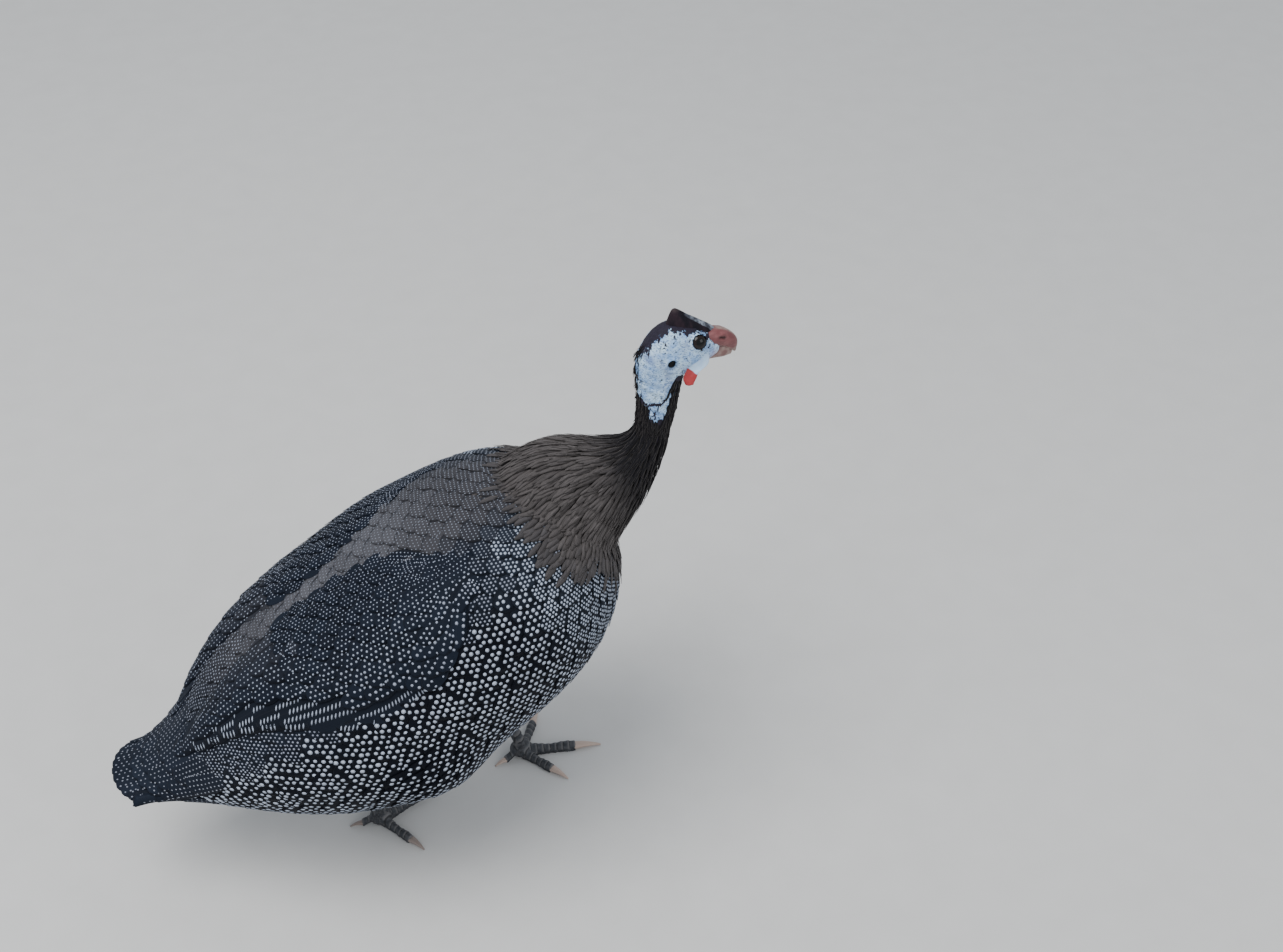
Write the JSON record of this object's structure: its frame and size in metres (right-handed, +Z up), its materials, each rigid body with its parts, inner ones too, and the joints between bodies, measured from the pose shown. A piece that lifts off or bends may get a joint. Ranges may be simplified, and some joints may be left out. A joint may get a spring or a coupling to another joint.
{
  "type": "guinea fowl figure",
  "caption": "Life-size still model of a helmeted guinea fowl in mid stride, dark plumage with white spots, bare pale head with a horn casque",
  "frame": {"origin": "on the ground, below the middle of the bounding box", "axes": "+X towards the bill, +Y to the bird's left, +Z up"},
  "size_m": [0.4588, 0.2006, 0.4258],
  "materials": {
    "plumage": "soft near-black slate feathers with small pearly spots",
    "collar_feathers": "plain brown-grey hair-like feathers",
    "bare_skin": "pale bluish white wrinkled skin",
    "bill_horn": "dull red horn",
    "casque_horn": "dark maroon horn",
    "eye": "wet dark brown",
    "wattle": "fleshy red skin, pale blue towards the mouth",
    "leg_scales": "dark slate scales",
    "claw_horn": "pale pinkish horn"
  },
  "bodies": {
    "root": {"torso": "plumage", "neck_lower": "collar_feathers", "neck_upper": "bare_skin", "head": "bare_skin", "bill_upper": "bill_horn", "bill_lower": "bill_horn", "casque": "casque_horn", "eye_left": "eye", "eye_right": "eye", "wattle_left": "wattle", "wattle_right": "wattle", "tail": "plumage", "wing_left": "plumage", "wing_right": "plumage", "thigh_left": "plumage", "shank_left": "leg_scales", "foot_left": "leg_scales", "toe_left_1": "leg_scales", "claw_left_1": "claw_horn", "toe_left_2": "leg_scales", "claw_left_2": "claw_horn", "toe_left_3": "leg_scales", "claw_left_3": "claw_horn", "toe_left_4": "leg_scales", "claw_left_4": "claw_horn", "thigh_right": "plumage", "shank_right": "leg_scales", "foot_right": "leg_scales", "toe_right_1": "leg_scales", "claw_right_1": "claw_horn", "toe_right_2": "leg_scales", "claw_right_2": "claw_horn", "toe_right_3": "leg_scales", "claw_right_3": "claw_horn", "toe_right_4": "leg_scales", "claw_right_4": "claw_horn"}
  },
  "joints": []
}
